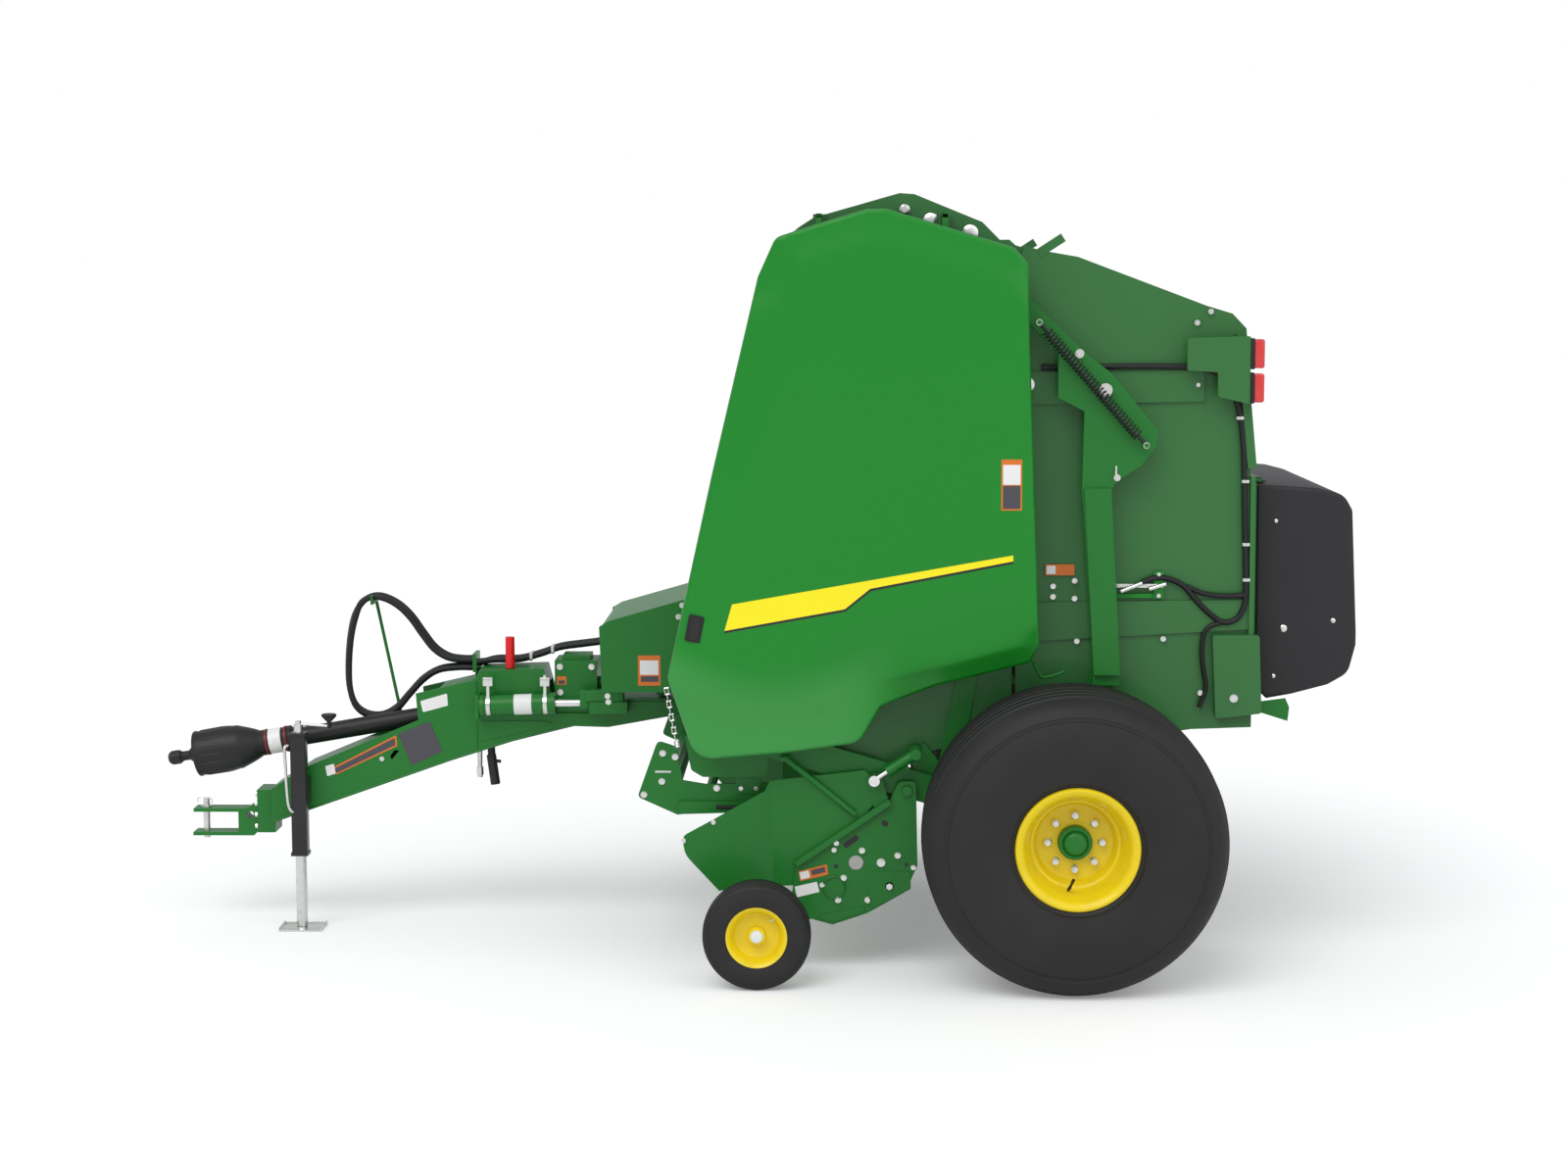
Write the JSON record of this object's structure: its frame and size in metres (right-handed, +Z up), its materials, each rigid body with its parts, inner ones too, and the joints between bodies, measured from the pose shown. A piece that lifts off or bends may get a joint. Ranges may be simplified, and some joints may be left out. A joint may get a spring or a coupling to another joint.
{
  "type": "round baler",
  "caption": "Towed round baler with a belt chamber, a lifting tailgate, a wrap cover, a tined pickup on gauge wheels, side shields, a drawbar with a drive shaft, and a parking jack.",
  "frame": {"origin": "centre of the bounding box in plan, on the floor under the tyres and the jack's foot", "axes": "+X to the rear (tailgate), -X to the hitch, +Y to the machine's right, +Z up"},
  "size_m": [4.775, 2.78, 2.967],
  "materials": {
    "green_paint": "gloss",
    "dark_green_paint": "satin",
    "yellow_paint": "gloss",
    "tyre_rubber": "matt",
    "belt_rubber": "matt",
    "hose_rubber": "satin",
    "black_plastic": "satin",
    "black_paint": "satin",
    "bright_steel": "satin",
    "red_plastic": "gloss",
    "net_white": "matt"
  },
  "bodies": {
    "frame": {"main_frame": "green_paint", "front_panel": "green_paint", "drive_hood": "green_paint", "drawbar": "green_paint", "hitch_clevis": "green_paint", "jack_tube": "black_paint", "gearbox": "dark_green_paint", "drive_guard": "black_plastic", "front_belts": "belt_rubber", "drawbar_cylinder": "bright_steel", "lock_lever": "red_plastic", "hose_rack": "green_paint", "hose_hook": "green_paint", "hydraulic_hose_1": "hose_rubber", "hydraulic_hose_2": "hose_rubber", "hydraulic_hose_3": "hose_rubber", "left_side_panel": "dark_green_paint", "right_side_panel": "dark_green_paint", "left_upright": "green_paint", "right_upright": "green_paint", "left_tension_spring": "black_paint", "right_tension_spring": "black_paint"},
    "gate": {"gate_frame": "green_paint", "gate_belts": "belt_rubber", "wrap_rolls": "net_white", "left_gate_side": "dark_green_paint", "right_gate_side": "dark_green_paint", "left_rear_lamps": "red_plastic", "right_rear_lamps": "red_plastic"},
    "wrap_cover": {"wrap_cover": "black_plastic"},
    "left_shield": {"left_side_shield": "green_paint"},
    "right_shield": {"right_side_shield": "green_paint"},
    "left_wheel": {"left_tyre": "tyre_rubber", "left_rim": "yellow_paint"},
    "right_wheel": {"right_tyre": "tyre_rubber", "right_rim": "yellow_paint"},
    "pickup": {"pickup_frame": "green_paint", "crop_bands": "green_paint", "windguard": "green_paint"},
    "left_gauge_wheel": {"left_gauge_tyre": "tyre_rubber", "left_gauge_rim": "yellow_paint"},
    "right_gauge_wheel": {"right_gauge_tyre": "tyre_rubber", "right_gauge_rim": "yellow_paint"},
    "tine_reel": {"tine_reel": "bright_steel"},
    "feed_rotor": {"feed_rotor": "bright_steel"},
    "jack_leg": {"jack_leg": "bright_steel"},
    "drive_yoke": {"drive_yoke": "black_plastic"},
    "left_gate_ram": {"left_gate_ram": "green_paint"},
    "left_gate_ram_rod": {"left_gate_ram_rod": "bright_steel"},
    "right_gate_ram": {"right_gate_ram": "green_paint"},
    "right_gate_ram_rod": {"right_gate_ram_rod": "bright_steel"},
    "left_pickup_ram": {"left_pickup_ram": "green_paint"},
    "left_pickup_ram_rod": {"left_pickup_ram_rod": "bright_steel"},
    "right_pickup_ram": {"right_pickup_ram": "green_paint"},
    "right_pickup_ram_rod": {"right_pickup_ram_rod": "bright_steel"}
  },
  "joints": [
    {"name": "gate_hinge", "type": "hinge", "parent": "frame", "child": "gate", "pos_m": [1.0215, 0, 2.745], "axis": [0, -1, 0], "range_deg": [0, 60]},
    {"name": "wrap_cover_hinge", "type": "hinge", "parent": "gate", "child": "wrap_cover", "pos_m": [2.0135, 0, 1.872], "axis": [0, -1, 0], "range_deg": [0, 75]},
    {"name": "left_shield_hinge", "type": "hinge", "parent": "frame", "child": "left_shield", "pos_m": [0.5565, -0.84, 2.88], "axis": [-1, 0, 0], "range_deg": [0, 65]},
    {"name": "right_shield_hinge", "type": "hinge", "parent": "frame", "child": "right_shield", "pos_m": [0.5565, 0.84, 2.88], "axis": [1, 0, 0], "range_deg": [0, 65]},
    {"name": "left_wheel_spin", "type": "hinge", "parent": "frame", "child": "left_wheel", "pos_m": [1.2715, -1.12, 0.568], "axis": [0, 1, 0], "continuous": true},
    {"name": "right_wheel_spin", "type": "hinge", "parent": "frame", "child": "right_wheel", "pos_m": [1.2715, 1.12, 0.568], "axis": [0, 1, 0], "continuous": true},
    {"name": "pickup_lift", "type": "hinge", "parent": "frame", "child": "pickup", "pos_m": [0.6565, 0, 0.7], "axis": [0, 1, 0], "range_deg": [0, 10]},
    {"name": "left_gauge_wheel_spin", "type": "hinge", "parent": "pickup", "child": "left_gauge_wheel", "pos_m": [0.0885, -1.15, 0.204], "axis": [0, 1, 0], "continuous": true},
    {"name": "right_gauge_wheel_spin", "type": "hinge", "parent": "pickup", "child": "right_gauge_wheel", "pos_m": [0.0885, 1.15, 0.204], "axis": [0, 1, 0], "continuous": true},
    {"name": "tine_reel_spin", "type": "hinge", "parent": "pickup", "child": "tine_reel", "pos_m": [0.4615, 0, 0.42], "axis": [0, 1, 0], "continuous": true},
    {"name": "feed_rotor_spin", "type": "hinge", "parent": "frame", "child": "feed_rotor", "pos_m": [0.8415, 0, 0.64], "axis": [0, 1, 0], "continuous": true},
    {"name": "drive_yoke_spin", "type": "hinge", "parent": "frame", "child": "drive_yoke", "pos_m": [-2.38415, 0, 0.672], "axis": [0.9859, 0, 0.1675], "continuous": true},
    {"name": "jack_slide", "type": "slide", "parent": "frame", "child": "jack_leg", "axis": [0, 0, 1], "range_m": [0, 0.29]},
    {"name": "left_gate_ram_swing", "type": "hinge", "parent": "frame", "child": "left_gate_ram", "pos_m": [0.8915, -0.836, 1.15], "axis": [0, -1, 0], "range_deg": [-12.87, 1]},
    {"name": "left_gate_ram_stroke", "type": "slide", "parent": "left_gate_ram", "child": "left_gate_ram_rod", "axis": [0.1918, 0, 0.9814], "range_m": [-0.001, 0.4262]},
    {"name": "left_pickup_ram_swing", "type": "hinge", "parent": "frame", "child": "left_pickup_ram", "pos_m": [0.6875, -0.908, 0.849], "axis": [0, -1, 0], "range_deg": [-5.19, 1]},
    {"name": "left_pickup_ram_stroke", "type": "slide", "parent": "left_pickup_ram", "child": "left_pickup_ram_rod", "axis": [-0.8386, 0, -0.5448], "range_m": [-0.0205, 0.001]},
    {"name": "right_gate_ram_swing", "type": "hinge", "parent": "frame", "child": "right_gate_ram", "pos_m": [0.8915, 0.836, 1.15], "axis": [0, -1, 0], "range_deg": [-12.87, 1]},
    {"name": "right_gate_ram_stroke", "type": "slide", "parent": "right_gate_ram", "child": "right_gate_ram_rod", "axis": [0.1918, 0, 0.9814], "range_m": [-0.001, 0.4262]},
    {"name": "right_pickup_ram_swing", "type": "hinge", "parent": "frame", "child": "right_pickup_ram", "pos_m": [0.6875, 0.908, 0.849], "axis": [0, -1, 0], "range_deg": [-5.19, 1]},
    {"name": "right_pickup_ram_stroke", "type": "slide", "parent": "right_pickup_ram", "child": "right_pickup_ram_rod", "axis": [-0.8386, 0, -0.5448], "range_m": [-0.0205, 0.001]}
  ],
  "couplings": [
    {"joint": "left_gate_ram_swing", "follows": "gate_hinge", "ratio": -0.19785},
    {"joint": "left_gate_ram_stroke", "follows": "gate_hinge", "m_per_rad": 0.4032},
    {"joint": "left_pickup_ram_swing", "follows": "pickup_lift", "ratio": -0.41925},
    {"joint": "left_pickup_ram_stroke", "follows": "pickup_lift", "m_per_rad": -0.11191},
    {"joint": "right_gate_ram_swing", "follows": "gate_hinge", "ratio": -0.19785},
    {"joint": "right_gate_ram_stroke", "follows": "gate_hinge", "m_per_rad": 0.4032},
    {"joint": "right_pickup_ram_swing", "follows": "pickup_lift", "ratio": -0.41925},
    {"joint": "right_pickup_ram_stroke", "follows": "pickup_lift", "m_per_rad": -0.11191}
  ]
}
